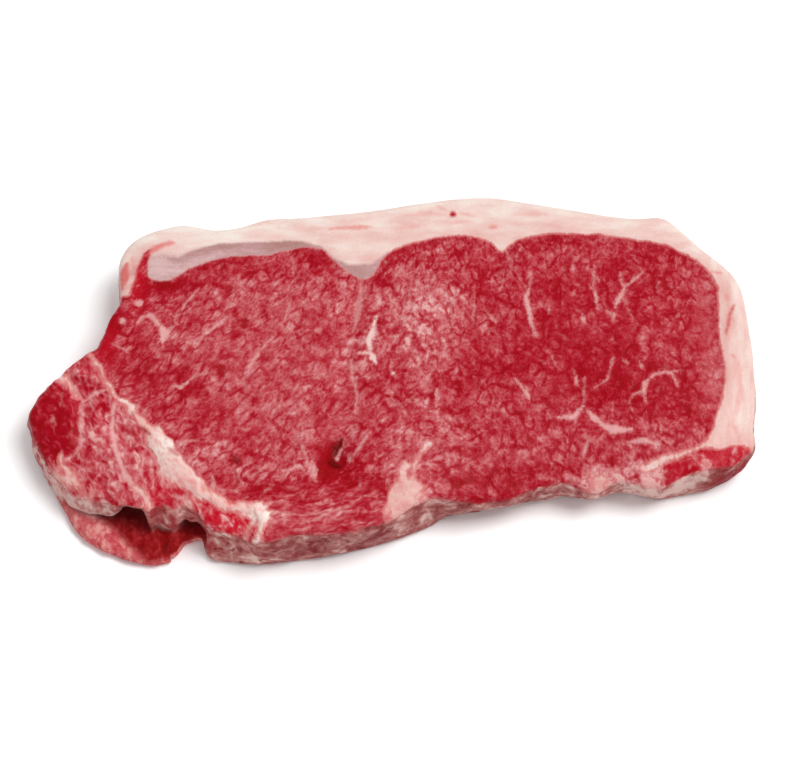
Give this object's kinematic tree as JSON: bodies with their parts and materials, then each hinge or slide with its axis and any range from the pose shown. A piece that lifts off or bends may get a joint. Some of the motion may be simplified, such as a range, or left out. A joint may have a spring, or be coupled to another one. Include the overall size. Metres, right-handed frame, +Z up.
{
  "type": "raw sirloin steak",
  "caption": "Raw sirloin steak lying flat: a red marbled eye of lean meat, a pale fat cap along the back and right end, and a thin split tail on the left.",
  "frame": {"origin": "middle of the bounding box, on the surface that the steak lies on", "axes": "+X along the steak from the thin tail to the thick end, +Y from the cut front edge to the fat cap, +Z up out of the upper cut face"},
  "size_m": [0.2092, 0.114, 0.0207],
  "materials": {
    "raw_meat": "moist raw beef, red marbled lean with a cream-white fat cap"
  },
  "bodies": {
    "root": {"steak": "raw_meat"}
  },
  "joints": []
}
